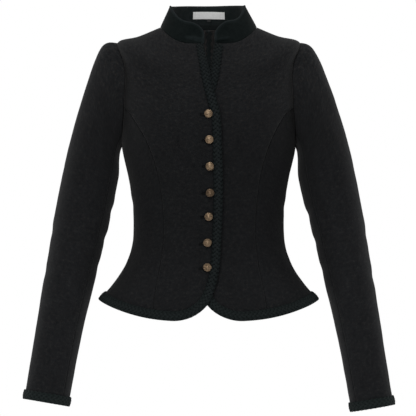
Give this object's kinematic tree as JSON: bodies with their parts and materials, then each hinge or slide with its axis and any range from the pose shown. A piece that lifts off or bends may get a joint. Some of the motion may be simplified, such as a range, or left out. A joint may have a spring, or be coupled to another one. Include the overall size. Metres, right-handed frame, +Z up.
{
  "type": "jacket",
  "caption": "Short fitted loden jacket with a stand collar, peplum, princess seams, braided edges and domed shank buttons, worn hollow.",
  "frame": {"origin": "midway between the two points where the shoulder seams meet the collar, at their height, where the wearer's neck and shoulders hold the jacket up", "axes": "+Z up, -Y the way the wearer faces, +X towards the wearer's left"},
  "size_m": [0.6357, 0.2819, 0.7027],
  "materials": {
    "loden": "felted wool, matt",
    "green_cloth": "fine felted wool, matt",
    "braid": "plaited wool cord",
    "lining": "satin weave",
    "label": "woven, bare",
    "tab": "woven, bare",
    "old_brass": "antique, satin"
  },
  "bodies": {
    "root": {"front_right": "loden", "front_left": "loden", "side_front_right": "loden", "side_front_left": "loden", "side_back_right": "loden", "side_back_left": "loden", "back_right": "loden", "back_left": "loden", "sleeve_upper_right": "loden", "sleeve_upper_left": "loden", "sleeve_under_right": "loden", "sleeve_under_left": "loden", "collar": "green_cloth", "edge_braid_right": "braid", "edge_braid_left": "braid", "cuff_braid_right": "braid", "cuff_braid_left": "braid", "button_1": "old_brass", "button_2": "old_brass", "button_3": "old_brass", "button_4": "old_brass", "button_5": "old_brass", "button_6": "old_brass", "button_7": "old_brass", "label": "label", "size_tab": "tab", "back_lining": "lining"}
  },
  "joints": []
}
